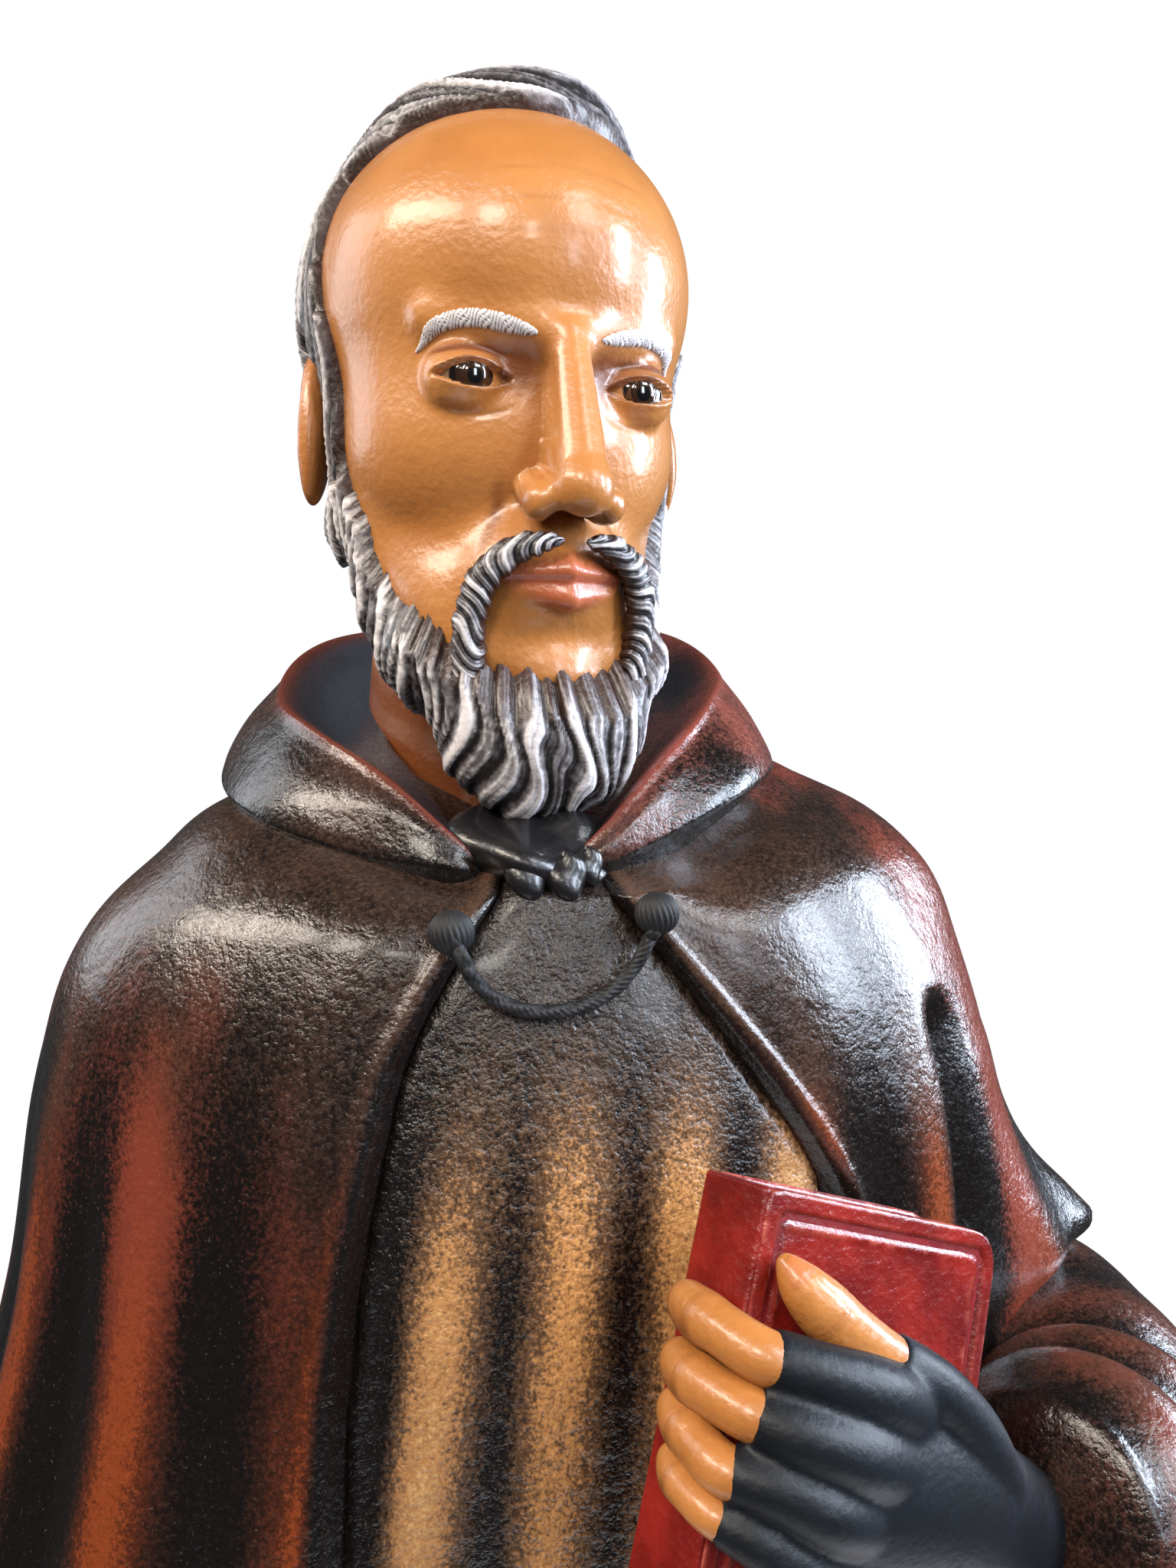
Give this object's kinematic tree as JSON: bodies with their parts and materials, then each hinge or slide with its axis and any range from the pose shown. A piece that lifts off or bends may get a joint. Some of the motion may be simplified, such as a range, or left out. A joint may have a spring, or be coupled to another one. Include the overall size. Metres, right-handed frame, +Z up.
{
  "type": "fiberglass saint statue",
  "caption": "Standing church figure of a bearded friar in an open cloak, holding a book in a gloved hand, on a low plinth.",
  "frame": {"origin": "middle of the plinth's underside", "axes": "+Z up; the figure faces -Y; +X is the figure's left, the side of the hand with the book"},
  "size_m": [0.45, 0.37, 1.2493],
  "materials": {
    "painted_fibreglass": "oil-painted fibreglass casting under satin varnish: dark brown cloak and habit, tan skin, grey hair, red book",
    "painted_base": "dark painted plinth, satin",
    "eye_glass": "polished dark glass eye",
    "black_knob": "black thread-covered knob",
    "black_cord": "black twisted thread cord"
  },
  "bodies": {
    "root": {"figure": "painted_fibreglass", "base": "painted_base", "eye_left": "eye_glass", "eye_right": "eye_glass", "cord_knob_left": "black_knob", "cord_knob_right": "black_knob", "cloak_cord": "black_cord"}
  },
  "joints": []
}
